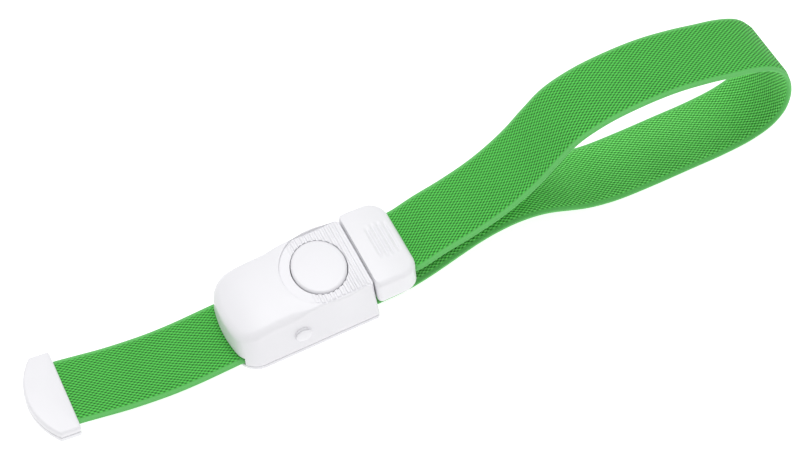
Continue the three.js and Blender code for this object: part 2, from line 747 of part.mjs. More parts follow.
// In the tab's own frame: its straight edge at x = 0, its body towards -X, its middle plane at z = 0
function tabPlan(inset) {
  const half = tabHalfWidth - inset;
  const radius = (tabHalfWidth ** 2 + tabBulge ** 2) / (2 * tabBulge);
  const centre = -tabSide - tabBulge + radius;
  const steps = 14;
  const reach = Math.asin(half / radius);
  const arc = Array.from({ length: steps + 1 }, (_, i) => {
    const angle = Math.PI - reach * (1 - 2 * i / steps);
    return [centre + (radius - inset) * Math.cos(angle), radius * Math.sin(angle)];
  });
  return [[-inset, -half], [-inset, half], ...arc];
}

function tabShell(side) {
  const outer = tabHalfThickness + seatGap / 2;
  const ring = (inset, z) => tabPlan(inset).map(([x, y]) => [x, y, z]);
  const centre = [-(tabSide + tabBulge) / 2, 0];
  const shell = loft([
    ring(0, seatGap / 2),
    ring(0, outer - tabEdgeRadius - tabCrown),
    ring(0.3 * tabEdgeRadius, outer - 0.4 * tabEdgeRadius - tabCrown),
    ring(tabEdgeRadius, outer - tabCrown),
  ], [...centre, outer]);
  const pocket = block(-tabOverlap - seatGap, cut, -webHalf - seatGap, webHalf + seatGap, -cut,
    webThickness / 2 + seatGap);
  let result = shell.subtract(pocket);
  const pegX = -tabOverlap - seatGap - tabPegRadius - tabPegInset;
  for (const y of [-tabPegSpacing / 2, tabPegSpacing / 2]) {
    const grow = side > 0 ? slideGap : 0;
    const reach = tabPegHeight + grow;
    const root = 1;
    const radius = tabPegRadius + grow;
    const peg = new THREE.CylinderGeometry(radius, radius, reach + root, circleSteps);
    peg.rotateX(Math.PI / 2);
    peg.translate(pegX, y, side * (reach - root) / 2);
    result = side > 0 ? result.subtract(solid(peg)) : result.add(solid(peg));
  }
  return result;
}

function placeTabPart(geometry, side) {
  if (side < 0) geometry.rotateX(Math.PI);
  geometry.rotateY(tilt);
  geometry.translate(tabEdgeX, 0, tabEdgeZ);
  return geometry;
}

// ---------- Assembly ----------

const whitePlastic = new THREE.MeshStandardMaterial({ color: 0xf2f1f4, roughness: 0.42, metalness: 0 });
const innerPlastic = new THREE.MeshStandardMaterial({ color: 0xe6e6ea, roughness: 0.5, metalness: 0 });
const springSteel = new THREE.MeshStandardMaterial({ color: 0xb9bcc2, roughness: 0.3, metalness: 1 });
const webbing = new THREE.MeshStandardMaterial({ color: 0x5fbf6a, roughness: 0.9, metalness: 0 });

const part = new THREE.Group();

function addPiece(name, geometry, material) {
  const mesh = new THREE.Mesh(geometry, material);
  mesh.name = name;
  part.add(mesh);
}

addPiece('housing_cover', toGeometry(makeHousingCover()), whitePlastic);
addPiece('housing_base', toGeometry(makeHousingBase()), whitePlastic);
addPiece('inner_frame', toGeometry(makeInnerFrame()), innerPlastic);
addPiece('latch_leaf', toGeometry(makeLatchLeaf()), springSteel);
addPiece('release_button', toGeometry(makeButton()), whitePlastic);
addPiece('button_spring', toGeometry(makeButtonSpring()), springSteel);
addPiece('clamp_lever', toGeometry(makeClamp()), innerPlastic);
addPiece('clamp_spring', toGeometry(makeClampSpring()), springSteel);
addPiece('clamp_axle', toGeometry(makeAxle()), whitePlastic);
addPiece('axle_cap', toGeometry(makeAxleCap()), whitePlastic);
addPiece('clip_cover', toGeometry(makeClipCover()), whitePlastic);
addPiece('clip_base', toGeometry(makeClipBase()), whitePlastic);
addPiece('anchor_bar', toGeometry(makeAnchorBar()), springSteel);
addPiece('strap_loop', toGeometry(makeLoop()), webbing);
addPiece('strap_tail', toGeometry(makeTail()), webbing);
addPiece('end_tab_top', placeTabPart(toGeometry(tabShell(1)), 1), whitePlastic);
addPiece('end_tab_bottom', placeTabPart(toGeometry(tabShell(-1)), -1), whitePlastic);

export default part;
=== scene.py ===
"""A webbing tourniquet with a push-button buckle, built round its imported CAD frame.

Shapes are worked out in millimetres and turned into metres when a mesh is made.
X runs from the buckle towards the arm loop, Y across the webbing, Z up.
"""
import math

import bmesh
import bpy
import numpy as np
from mathutils import Matrix, Vector


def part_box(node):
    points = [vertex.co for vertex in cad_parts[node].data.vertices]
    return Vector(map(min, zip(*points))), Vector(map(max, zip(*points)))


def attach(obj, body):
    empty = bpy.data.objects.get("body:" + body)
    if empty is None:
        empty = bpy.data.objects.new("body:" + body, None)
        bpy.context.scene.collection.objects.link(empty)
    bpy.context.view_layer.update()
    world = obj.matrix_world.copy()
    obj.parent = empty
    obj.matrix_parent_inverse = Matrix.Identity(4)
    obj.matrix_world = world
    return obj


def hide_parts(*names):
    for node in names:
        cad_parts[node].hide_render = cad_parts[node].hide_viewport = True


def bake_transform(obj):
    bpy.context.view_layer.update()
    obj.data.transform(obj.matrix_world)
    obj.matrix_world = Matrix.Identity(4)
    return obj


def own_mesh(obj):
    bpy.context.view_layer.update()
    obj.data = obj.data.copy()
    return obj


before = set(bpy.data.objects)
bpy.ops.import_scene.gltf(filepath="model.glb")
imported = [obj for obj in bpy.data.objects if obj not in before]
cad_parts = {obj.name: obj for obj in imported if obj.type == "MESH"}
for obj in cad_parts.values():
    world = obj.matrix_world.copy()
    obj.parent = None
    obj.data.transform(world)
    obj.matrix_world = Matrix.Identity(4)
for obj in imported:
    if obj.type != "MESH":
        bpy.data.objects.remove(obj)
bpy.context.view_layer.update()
MM = 0.001


def corners(node):
    """A CAD node's lowest and highest corners, in millimetres."""
    low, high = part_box(node)
    return low / MM, high / MM


# ---------- Camera ---------------------------

AIM = Vector((38.6, 0, 20.4))
DISTANCE = 629.1
AZIMUTH, ELEVATION, ROLL = (math.radians(v) for v in (-18.4, 54.0, 8.39))
FOCAL_LENGTH = 90
SENSOR_WIDTH = 36
NEAR_CLIP = 0.01


def make_camera():
    back = Vector((math.sin(AZIMUTH) * math.cos(ELEVATION),
                   -math.cos(AZIMUTH) * math.cos(ELEVATION), math.sin(ELEVATION)))
    level = Vector((math.cos(AZIMUTH), math.sin(AZIMUTH), 0))
    upright = back.cross(level)
    right = level * math.cos(ROLL) - upright * math.sin(ROLL)
    up = level * math.sin(ROLL) + upright * math.cos(ROLL)
    place = (AIM + back * DISTANCE) * MM
    data = bpy.data.cameras.new("camera")
    data.lens = FOCAL_LENGTH
    data.sensor_width = SENSOR_WIDTH
    data.clip_start = NEAR_CLIP
    camera = bpy.data.objects.new("camera", data)
    bpy.context.scene.collection.objects.link(camera)
    camera.matrix_world = Matrix(((right.x, up.x, back.x, place.x), (right.y, up.y, back.y, place.y),
                                  (right.z, up.z, back.z, place.z), (0, 0, 0, 1)))
    bpy.context.scene.camera = camera


make_camera()


# ---------- Sizes ----------

# Most follow the CAD part's or come from its boxes. Those marked "here" are the visual model's own

cover_low, cover_high = corners("housing_cover")
base_high = corners("housing_base")[1]
button_low, button_high = corners("release_button")
clip_low, clip_high = corners("clip_cover")
plate_low = corners("clip_base")[0]
bar_low, bar_high = corners("anchor_bar")
tail_high = corners("strap_tail")[1]

WEB_HALF = tail_high.y
WEB_THICKNESS = 2.1
SEAT_GAP = 0.3
MOUTH_X = cover_high.x
HALF_LENGTH = MOUTH_X
BASE_INSET = 0.25
HALF_WIDTH = base_high.y + BASE_INSET
HOUSING_TOP = cover_high.z
COVER_BOTTOM = cover_low.z
SIDE_DRAFT = 2.0
HOUSING_WALL = 1.2
EDGE_RADIUS = 2.4
HOUSING_CROWN = 1.1
NOSE_BULGE = 2.6
NOSE_DROP = 3.2
NOSE_DROP_LENGTH = 15.0
NOSE_CORNER = 5.5
MOUTH_CORNER = 1.2
COLLAR_BULGE = 0.8
COLLAR_RADIUS = HALF_WIDTH - SIDE_DRAFT + COLLAR_BULGE
COLLAR_SOFTNESS = 0.35   # here: of the bend where the collar leaves the side
BUTTON_X = (button_low.x + button_high.x) / 2
BUTTON_HALF_X = 8.7
BUTTON_HALF_Y = button_high.y
BUTTON_TOP = button_high.z
BUTTON_RIM = 0.9
BUTTON_DOME = 0.42
HOLE_GAP = 0.25          # here: round the button, where the CAD part has more
RECESS_X = 12.8
RECESS_RADIUS = 15.2
RECESS_RIM = 0.1
RECESS_DEPTH = 0.9
RECESS_FLOOR = 1.4
RECESS_HALF = HALF_WIDTH - SIDE_DRAFT - RECESS_RIM
RECESS_Z = HOUSING_TOP - RECESS_DEPTH
CEILING_Z = RECESS_Z - RECESS_FLOOR
CHANNEL_HALF = WEB_HALF + SEAT_GAP
TONGUE_THICKNESS = 2.0
TONGUE_INSET = 0.5
TONGUE_BOTTOM = plate_low.z
TONGUE_TOP = TONGUE_BOTTOM + TONGUE_THICKNESS
TONGUE_HALF = WEB_HALF - TONGUE_INSET
WEB_CENTRE = COVER_BOTTOM + WEB_THICKNESS / 2
RAIL_TOP = base_high.z
AXLE_X = -3.0
AXLE_Z = 7.9
AXLE_RADIUS = 1.0
AXLE_HEAD = 2.7
AXLE_HEAD_RISE = 0.7     # here
AXLE_HEAD_BRIM = 0.15    # here
AXLE_HEAD_STAND = 0.04   # here: from the seat
AXLE_SEAT_MARGIN = 0.1   # here: that the seat shows round the head
AXLE_SEAT_RISE = 0.2
AXLE_SEAT = HALF_WIDTH - SIDE_DRAFT * AXLE_Z / HOUSING_TOP + AXLE_SEAT_RISE

CLIP_START = clip_low.x
CLIP_END = clip_high.x
CLIP_HALF = clip_high.y
CLIP_TOP = clip_high.z
CLIP_BOTTOM = clip_low.z
CLIP_WALL = 1.0
CLIP_PLATE = 1.0
BRIDGE_TOP = TONGUE_BOTTOM + CLIP_PLATE + SEAT_GAP
CLIP_EDGE = 1.6
CLIP_SEAM_EDGE = 0.4
CLIP_CORNER = 6.0
CLIP_CROWN = 0.5
CLIP_TOP_DROP = 1.3
CLIP_LEVEL = 3.0
BAR_X = (bar_low.x + bar_high.x) / 2
BAR_Z = (bar_low.z + bar_high.z) / 2

TAB_TILT = math.radians(9)
TAB_EDGE_X = -77.0
TAB_EDGE_Z = 8.9
TAB_MARGIN = 3.0
TAB_HALF = WEB_HALF + TAB_MARGIN
TAB_SIDE = 6.5
TAB_BULGE = 5.8
TAB_HALF_THICKNESS = 2.6
TAB_CROWN = 0.3
TAB_EDGE = 1.0
TAB_OVERLAP = 7.5

# Lower face of the webbing, as in the CAD part: (X from the mouth or from the nose, height)
LOOP_ROUTE = [
    (13.25, 10.25), (17.25, 10.45), (25.25, 12.95), (35.25, 15.35), (45.25, 18.75), (52.25, 22.35),
    (59.25, 27.15), (66.25, 33.55), (73.25, 39.15), (83.25, 42.55), (95.25, 43.75), (107.25, 43.35),
    (118.25, 41.35), (127.25, 38.95), (136.25, 36.35), (143.25, 32.75), (147.85, 27.55),
    (149.95, 21.35), (150.15, 14.75), (148.25, 8.75), (143.85, 4.15), (136.75, 1.35), (126.25, 0.15),
    (113.25, 0.1), (100.25, 0.1), (88.25, 0.65), (81.25, 1.95), (75.25, 3.85), (69.25, 6.65),
    (63.25, 9.55), (57.25, 11.45), (50.25, 12.25), (43.25, 11.75), (37.25, 10.45), (31.25, 8.45),
    (24.25, 5.85), (17.25, 3.55), (10.25, 2.05),
]
TAIL_ROUTE = [(-3.25, 1.7), (-9.25, 1.4), (-15.25, 1.2), (-23.25, 1.45), (-31.25, 2.45),
              (-39.25, 3.95), (-47.25, 6.05)]

# Pattern of the weave: repeats along and across the webbing
WEAVE_ALONG = 1.8
WEAVE_ACROSS = 1.15
FALLING_SHARE = 0.58
RISING_SHARE = 0.42


# ---------- Mesh helpers ----------

def link_mesh(name, points, faces, sharp_angle=40):
    """A new object from points in millimetres, facing out and smooth but for its sharp edges."""
    mesh = bpy.data.meshes.new(name)
    mesh.from_pydata((np.asarray(points, float) * MM).tolist(), [], faces)
    finish_mesh(mesh, sharp_angle)
    piece = bpy.data.objects.new(name, mesh)
    bpy.context.scene.collection.objects.link(piece)
    return piece


def finish_mesh(mesh, sharp_angle):
    form = bmesh.new()
    form.from_mesh(mesh)
    bmesh.ops.recalc_face_normals(form, faces=form.faces)
    form.to_mesh(mesh)
    form.free()
    mesh.shade_smooth()
    mesh.set_sharp_from_angle(angle=math.radians(sharp_angle))


def skin(name, rings, loop=False, sharp_angle=40):
    """A skin through rings of points. It closes on itself, or at the middle of each end ring."""
    rings = [np.asarray(ring, float) for ring in rings]
    count = len(rings[0])
    points = [point for ring in rings for point in ring]
    faces = []
    last = len(rings) if loop else len(rings) - 1
    for r in range(last):
        a = r * count
        b = (r + 1) % len(rings) * count
        for i in range(count):
            j = (i + 1) % count
            faces.append((a + i, a + j, b + j, b + i))
    if not loop:
        for start, ring in ((0, rings[0]), ((len(rings) - 1) * count, rings[-1])):
            centre = len(points)
            points.append(ring.mean(axis=0))
            faces += [(centre, start + i, start + (i + 1) % count) for i in range(count)]
    return link_mesh(name, points, faces, sharp_angle)


def lathe_y(name, outline, x, z, steps=64):
    """A turned form about a line along Y, from (radius, y) points that start and end close to it."""
    turn = np.linspace(0, 2 * math.pi, steps, endpoint=False)
    rings = [np.stack([x + r * np.cos(turn), np.full(steps, y), z + r * np.sin(turn)], axis=1)
             for r, y in outline]
    return skin(name, rings)


def block(x0, x1, y0, y1, z0, z1):
    """A plain cutting or joining body, removed once it has been used."""
    points = [(x, y, z) for x in (x0, x1) for y in (y0, y1) for z in (z0, z1)]
    faces = [(0, 1, 3, 2), (4, 6, 7, 5), (0, 4, 5, 1), (2, 3, 7, 6), (0, 2, 6, 4), (1, 5, 7, 3)]
    return link_mesh("tool", points, faces)


def combine(piece, tool, how, sharp_angle=35):
    """Joins a tool body to a piece, or cuts it away, and deletes the tool."""
    change = piece.modifiers.new("combine", "BOOLEAN")
    change.operation = how
    change.solver = "EXACT"
    change.object = tool
    view = bpy.context.evaluated_depsgraph_get()
    mesh = bpy.data.meshes.new_from_object(piece.evaluated_get(view))
    piece.modifiers.clear()
    old = piece.data
    piece.data = mesh
    bpy.data.meshes.remove(old)
    bpy.data.objects.remove(tool)
    mesh.name = piece.name
    mesh.shade_smooth()
    mesh.set_sharp_from_angle(angle=math.radians(sharp_angle))


def rounded_plan(left, right, half, left_radius, right_radius, bow=0.0, corner=24, side=70):
    """A dense round-cornered outline in plan, with a bow in its left end."""
    places = [(right - right_radius, -half + right_radius, right_radius, -90),
              (right - right_radius, half - right_radius, right_radius, 0),
              (left + left_radius, half - left_radius, left_radius, 90),
              (left + left_radius, -half + left_radius, left_radius, 180)]
    points = []
    for number, (x, y, radius, start) in enumerate(places):
        for i in range(corner + 1):
            angle = math.radians(start + 90 * i / corner)
            points.append((x + radius * math.cos(angle), y + radius * math.sin(angle)))
        x2, y2, radius2, start2 = places[(number + 1) % 4]
        turn = math.radians(start2)
        ahead = (x2 + radius2 * math.cos(turn), y2 + radius2 * math.sin(turn))
        behind = points[-1]
        for i in range(1, side):
            t = i / side
            points.append((behind[0] + t * (ahead[0] - behind[0]),
                           behind[1] + t * (ahead[1] - behind[1])))
    points = np.array(points)
    middle = (left + right) / 2
    share = np.maximum(0, (middle - points[:, 0]) / (middle - left))
    points[:, 0] -= bow * share ** 4 * (1 - (points[:, 1] / half) ** 2)
    return points


def polar(points, centre, angles):
    """Distance from a centre to an outline, along each angle."""
    around = np.arctan2(points[:, 1], points[:, 0] - centre)
    reach = np.hypot(points[:, 0] - centre, points[:, 1])
    order = np.argsort(around)
    return np.interp(angles, around[order], reach[order], period=2 * math.pi)


def ring_at(reach, angles, centre, z):
    x = centre + reach * np.cos(angles)
    y = reach * np.sin(angles)
    return np.stack([x, y, z(x, y) if callable(z) else np.broadcast_to(z, x.shape)], axis=1)


def ray_angles(count, centre, edges):
    """Even rays about a centre, with a close pair each side of every edge point."""
    even = np.linspace(-math.pi, math.pi, count, endpoint=False)
    extra = [math.atan2(y, x - centre) + turn for x, y in edges for turn in (-4e-4, 4e-4)]
    return np.unique(np.concatenate([even, extra]))


def ease(t):
    t = np.clip(t, 0, 1)
    return t * t * (3 - 2 * t)


# ---------- Materials ----------

class Graph:
    """A short way to write a material's nodes."""

    def __init__(self, name):
        self.material = bpy.data.materials.new(name)
        self.material.use_nodes = True
        self.tree = self.material.node_tree
        self.shader = self.tree.nodes["Principled BSDF"]

    def put(self, socket, value):
        if isinstance(value, bpy.types.NodeSocket):
            self.tree.links.new(value, socket)
        else:
            socket.default_value = value

    def node(self, kind, inputs, output=0, **settings):
        made = self.tree.nodes.new(kind)
        for key, value in settings.items():
            setattr(made, key, value)
        for key, value in inputs.items():
            self.put(made.inputs[key], value)
        return made.outputs[output]

    def math(self, operation, a, b=0.0):
        return self.node("ShaderNodeMath", {0: a, 1: b}, operation=operation)

    def noise(self, scale, detail=2.0, roughness=0.5):
        place = self.node("ShaderNodeTexCoord", {}, output="Object")
        return self.node("ShaderNodeTexNoise", {"Vector": place, "Scale": scale, "Detail": detail,
                                                "Roughness": roughness})

    def colour_mix(self, factor, first, second):
        made = self.tree.nodes.new("ShaderNodeMix")
        made.data_type = "RGBA"
        self.put(made.inputs[0], factor)
        self.put(made.inputs[6], first)
        self.put(made.inputs[7], second)
        return made.outputs[2]

    def ramp(self, value, low, high):
        return self.node("ShaderNodeMapRange", {"Value": value, "From Min": 0.0, "From Max": 1.0,
                                                "To Min": low, "To Max": high})

    def bump(self, height, distance, strength=1.0):
        return self.node("ShaderNodeBump", {"Height": height, "Distance": distance, "Strength": strength})

    def set(self, **values):
        names = {"color": "Base Color", "roughness": "Roughness", "metallic": "Metallic",
                 "normal": "Normal", "sheen": "Sheen Weight", "sheen_roughness": "Sheen Roughness",
                 "ior": "IOR"}
        for key, value in values.items():
            self.put(self.shader.inputs[names[key]], value)


def plastic(name, color, roughness, grain):
    """Moulded plastic: faint flow marks in its colour and a fine satin grain."""
    graph = Graph(name)
    shade = [c * 0.965 for c in color[:3]] + [1]
    flow = graph.noise(90.0, 3.0)
    fine = graph.noise(2600.0, 2.0)
    graph.set(color=graph.colour_mix(flow, color, shade),
              roughness=graph.ramp(graph.noise(420.0, 3.0), roughness - 0.05, roughness + 0.06),
              normal=graph.bump(fine, 0.00002, grain), ior=1.49)
    return graph.material


def steel(name, color, roughness):
    """Steel: a fine grain in its colour and a slightly uneven polish."""
    graph = Graph(name)
    shade = [c * 0.8 for c in color[:3]] + [1]
    grain = graph.noise(3000.0, 4.0, 0.7)
    graph.set(color=graph.colour_mix(grain, color, shade),
              roughness=graph.ramp(graph.noise(700.0, 3.0), roughness - 0.07, roughness + 0.1),
              normal=graph.bump(grain, 0.00001, 0.5), metallic=1.0)
    return graph.material


def webbing(name, ground, light, hole, edge, inner=False):
    """Woven elastic: staggered holes between slanted threads, and a smoother woven edge.

    The "weave" attribute holds each point's distance along and across the webbing in millimetres,
    and in its third value 1 on a face and 0 on an edge."""
    graph = Graph(name)
    place = graph.node("ShaderNodeAttribute", {}, output="Vector", attribute_name="weave")
    parts = graph.tree.nodes.new("ShaderNodeSeparateXYZ")
    graph.put(parts.inputs[0], place)
    along, across, on_face = parts.outputs
    wobble = graph.math("MULTIPLY", graph.math("SUBTRACT", graph.noise(380.0, 2.0), 0.5), 1.5)
    turn_along = graph.math("ADD", graph.math("MULTIPLY", along, 2 * math.pi / WEAVE_ALONG), wobble)
    turn_across = graph.math("MULTIPLY", across, 2 * math.pi / WEAVE_ACROSS)
    falling = graph.math("COSINE", graph.math("SUBTRACT", turn_along, turn_across))
    rising = graph.math("COSINE", graph.math("ADD", turn_along, turn_across))
    pattern = graph.math("ADD", graph.math("MULTIPLY", falling, FALLING_SHARE),
                         graph.math("MULTIPLY", rising, RISING_SHARE))
    level = graph.ramp(graph.math("MULTIPLY", graph.math("ADD", pattern, 1.0), 0.5), 0.0, 1.0)
    # With inner set, the weave's light and dark are turned over: painted shade, copying how the weave
    # looks in the shade under the upper run
    if inner:
        level = graph.math("SUBTRACT", 1.0, level)
    holes = graph.math("MULTIPLY", graph.math("POWER", level, 2.0), on_face)
    crests = graph.math("MULTIPLY", graph.math("POWER", graph.math("SUBTRACT", 1.0, level), 1.6), on_face)
    patches = graph.noise(60.0, 3.0)
    thread = graph.noise(2400.0, 2.0, 0.7)
    body = graph.colour_mix(graph.math("MULTIPLY", patches, 0.55), ground, light)
    body = graph.colour_mix(crests, body, light)
    body = graph.colour_mix(graph.math("MULTIPLY", thread, 0.25), body, ground)
    body = graph.colour_mix(holes, body, hole)
    body = graph.colour_mix(on_face, edge, body)
    height = graph.math("SUBTRACT", graph.math("MULTIPLY", thread, 0.35), holes)
    graph.set(color=body, roughness=graph.ramp(thread, 0.72, 0.9), normal=graph.bump(height, 0.00022, 0.8),
              sheen=0.05, sheen_roughness=0.5, ior=1.45)
    return graph.material


def floor_material():
    graph = Graph("floor")
    tone = graph.noise(6.0, 2.0)
    graph.set(color=graph.colour_mix(tone, (0.56, 0.56, 0.56, 1), (0.54, 0.54, 0.54, 1)), roughness=0.9)
    graph.shader.inputs["Emission Color"].default_value = (1, 1, 1, 1)
    graph.shader.inputs["Emission Strength"].default_value = FLOOR_GLOW
    return graph.material


WHITE = plastic("white_plastic", (0.80, 0.795, 0.825, 1), 0.36, 0.35)
INNER = plastic("inner_plastic", (0.66, 0.66, 0.69, 1), 0.46, 0.5)
STEEL = steel("spring_steel", (0.62, 0.63, 0.66, 1), 0.28)
GREEN = webbing("green_webbing", (0.040, 0.38, 0.034, 1), (0.11, 0.68, 0.10, 1), (0.003, 0.050, 0.003, 1),
                (0.12, 0.48, 0.12, 1))
# A brighter copy of the webbing for the loop's inner face: painted light, making up for the shade that
# falls there, with its weave turned over as painted shade
GREEN_INNER_PAINTED_LIGHT = webbing("green_webbing_inner_painted_light", (0.044, 0.44, 0.036, 1), (0.27, 0.98, 0.24, 1),
                      (0.008, 0.11, 0.006, 1), (0.13, 0.52, 0.13, 1), inner=True)


def give(piece, body, slot, *materials):
    """A piece's materials and the body it moves with; its slot is not used."""
    if piece.data.materials:
        piece.data.materials.clear()
    for material in materials:
        piece.data.materials.append(material)
    if body:
        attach(piece, body)


# ---------- Housing cover ----------

def housing_lean(z):
    return SIDE_DRAFT * z / HOUSING_TOP


def housing_plan(inset, lean):
    return rounded_plan(-HALF_LENGTH + inset + lean / 2, HALF_LENGTH - inset, HALF_WIDTH - inset - lean,
                        max(NOSE_CORNER - inset, 1.5), max(MOUTH_CORNER - inset, 0.4), NOSE_BULGE)


def housing_top_plan(inset):
    """The plan at the top, whose long sides swell out to the collar about the recess."""
    plan = housing_plan(inset, SIDE_DRAFT)
    flat = HALF_WIDTH - inset - SIDE_DRAFT
    radius = COLLAR_RADIUS - inset
    reach = np.sqrt(np.maximum(0, radius ** 2 - (plan[:, 0] - RECESS_X) ** 2))
    softness = COLLAR_SOFTNESS
    swell = softness * np.log1p(np.exp(np.clip((reach - flat) / softness, -40, 40)))
    on_side = np.abs(plan[:, 1]) > flat - 0.01
    plan[:, 1] = np.where(on_side, np.sign(plan[:, 1]) * (flat + swell), plan[:, 1])
    return plan


def housing_top(x, y):
    level = np.maximum(0, 1 - ((x - RECESS_X) / COLLAR_RADIUS) ** 2)
    across = HOUSING_CROWN * (1 - level) * (y / HALF_WIDTH) ** 2
    along = np.maximum(0, (-HALF_LENGTH + NOSE_DROP_LENGTH - x) / NOSE_DROP_LENGTH)
    return HOUSING_TOP - across - NOSE_DROP * along ** 2


RIB_PITCH = 1.7
RIB_WIDTH = 0.8
RIB_HEIGHT = 0.4
RIB_SLOPE = 0.2
RIB_START_X = 3.0
RIB_FADE = 3.0        # length over which the first ribs rise
RIB_END_GAP = 0.35
RIB_END_SLOPE = 0.4
CRISP_START = -6.0    # from here towards the mouth, the top's long edges grow crisper
CRISP_LENGTH = 8.0
CRISP_SHARE = 0.65


def recess_floor(x, y):
    """The recess's floor with its row of ribs across."""
    phase = (x - (RECESS_X - RECESS_RADIUS + RIB_PITCH)) / RIB_PITCH
    away = np.abs(phase - np.round(phase)) * RIB_PITCH
    rib = ease((RIB_WIDTH / 2 + RIB_SLOPE - away) / RIB_SLOPE)
    arc = np.sqrt(np.maximum(0, RECESS_RADIUS ** 2 - np.minimum(0, x - RECESS_X) ** 2))
    inside = np.minimum(RECESS_HALF, arc) - RIB_END_GAP - np.abs(y)
    return RECESS_Z + RIB_HEIGHT * rib * ease(inside / RIB_END_SLOPE) * ease((x - RIB_START_X) / RIB_FADE)


def make_housing_cover():
    centre = BUTTON_X
    nose_x = -22.2
    slots = [(nose_x, CHANNEL_HALF), (nose_x, -CHANNEL_HALF),
             (MOUTH_X, CHANNEL_HALF), (MOUTH_X, -CHANNEL_HALF)]
    angles = ray_angles(600, centre, slots)
    cos, sin = np.cos(angles), np.sin(angles)
    hole = 1 / np.hypot(cos / (BUTTON_HALF_X + HOLE_GAP), sin / (BUTTON_HALF_Y + HOLE_GAP))
    with np.errstate(divide="ignore"):
        straight = RECESS_HALF / np.abs(sin)
    offset = centre - RECESS_X
    arc = np.sqrt(RECESS_RADIUS ** 2 - (offset * sin) ** 2) - offset * cos
    recess = np.where(centre + straight * cos < RECESS_X, np.minimum(arc, straight), straight)
    outline = polar(housing_top_plan(0), centre, angles)
    crisp = 1 - CRISP_SHARE * ease((centre + outline * cos - CRISP_START) / CRISP_LENGTH)
    rim = outline - crisp * (outline - polar(housing_top_plan(EDGE_RADIUS), centre, angles))
    recess_shown = np.minimum(recess, outline - 0.05)

    def surface(reach):
        """Height of the outer form at a distance along each ray, with the recess sunk into it."""
        x, y = centre + reach * cos, reach * sin
        u = np.clip((reach - rim) / (outline - rim), 0, 1)
        form = housing_top(x, y) - crisp * EDGE_RADIUS * (1 - np.sqrt(1 - u * u))
        return np.where(reach <= recess + 1e-6, np.minimum(form, recess_floor(x, y)), form)

    def ring(reach, z=None):
        return ring_at(reach, angles, centre, surface(reach) if z is None else z)

    rings = [ring(hole, CEILING_Z), ring(hole, RECESS_Z - 0.5), ring(hole, RECESS_Z - 0.22)]
    inner_edge = hole + 0.12
    rings.append(ring(inner_edge))
    for t in np.linspace(0, 1, 30)[1:]:
        rings.append(ring(inner_edge + (1 - (1 - t) ** 1.3) * (recess_shown - inner_edge)))
    lip = 0.3
    room = np.minimum(lip, 0.5 * (outline - recess_shown))
    for out, down in ((0.02, 1.0), (0.1, 0.45), (0.35, 0.12), (1.0, 0.0)):
        reach = recess_shown + out * room
        rings.append(ring(reach, surface(reach) - down * room))
    start = recess_shown + room
    flat_end = np.maximum(rim, start)
    for t in np.linspace(0, 1, 9)[1:]:
        rings.append(ring(start + t * (flat_end - start)))
    for turn in np.linspace(0, math.pi / 2, 11)[1:-1]:
        rings.append(ring(flat_end + math.sin(turn) * (outline - flat_end)))
    edge = ring(outline)
    rings.append(edge)
    foot = polar(housing_plan(0, housing_lean(COVER_BOTTOM)), centre, angles)
    inner_top = polar(housing_top_plan(HOUSING_WALL), centre, angles)
    inner_foot = polar(housing_plan(HOUSING_WALL, housing_lean(COVER_BOTTOM)), centre, angles)
    x, y = centre + foot * cos, foot * sin
    in_slot = np.abs(y) < CHANNEL_HALF
    bottom = np.full(len(angles), COVER_BOTTOM)
    bottom = np.where(in_slot & (x < 0), COVER_BOTTOM + WEB_THICKNESS + 2 * SEAT_GAP, bottom)
    bottom = np.where(in_slot & (x > 0), RAIL_TOP, bottom)
    edge_z = edge[:, 2]
    foot_round = 0.25
    for t in (0.15, 0.35, 0.55, 0.75, 0.9):
        z = edge_z + t * (bottom + foot_round - edge_z)
        down = (edge_z - z) / (edge_z - COVER_BOTTOM)
        rings.append(ring(outline + down * (foot - outline), z))
    for inset, z in ((0, foot_round), (0.3 * foot_round, 0.3 * foot_round), (foot_round, 0)):
        level = bottom + z
        down = (edge_z - level) / (edge_z - COVER_BOTTOM)
        rings.append(ring(outline + down * (foot - outline) - inset, level))
    down = (edge_z - bottom) / (edge_z - COVER_BOTTOM)
    rings.append(ring(inner_top + down * (inner_foot - inner_top), bottom))
    ceiling = np.minimum(CEILING_Z, edge_z - 0.2)
    rings.append(ring(inner_top, ceiling))
    for t in (0.3, 0.65):
        rings.append(ring(inner_top + t * (hole - inner_top), ceiling + t * (CEILING_Z - ceiling)))
    cover = skin("cover_shell", rings, loop=True, sharp_angle=42)
    seat = AXLE_HEAD + AXLE_SEAT_MARGIN
    for side in (-1, 1):
        y0, y1 = sorted((side * AXLE_SEAT, side * (AXLE_SEAT - HOUSING_WALL)))
        boss = lathe_y("tool", [(0.01, y0), (seat, y0), (seat, y1), (0.01, y1)], AXLE_X, AXLE_Z)
        combine(cover, boss, "UNION")
    bore = AXLE_RADIUS + SEAT_GAP
    far = AXLE_SEAT + 1
    drill = lathe_y("tool", [(0.01, -far), (bore, -far), (bore, far), (0.01, far)], AXLE_X, AXLE_Z)
    combine(cover, drill, "DIFFERENCE")
    mouth_half = TONGUE_HALF + SEAT_GAP
    combine(cover, block(MOUTH_X - 3, MOUTH_X + 1, -mouth_half, mouth_half, TONGUE_BOTTOM - SEAT_GAP,
                         TONGUE_TOP + SEAT_GAP), "DIFFERENCE")
    give(cover, "buckle", "white_plastic", WHITE)
    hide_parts("housing_cover")


make_housing_cover()


# ---------- Release button ----------

BUTTON_TRAVEL = 2.0
BUTTON_WALL = 1.4     # of its skirt
BUTTON_CROWN = 0.32
FOOT_OFFSET = 4       # the foot that presses the leaf, towards the nose
FOOT_HALF_X = 1.5
FOOT_HALF_Y = 2.5
STEM_OFFSET = 3       # the stem in the spring, towards the mouth
LUG_HALF_Y = 2.5


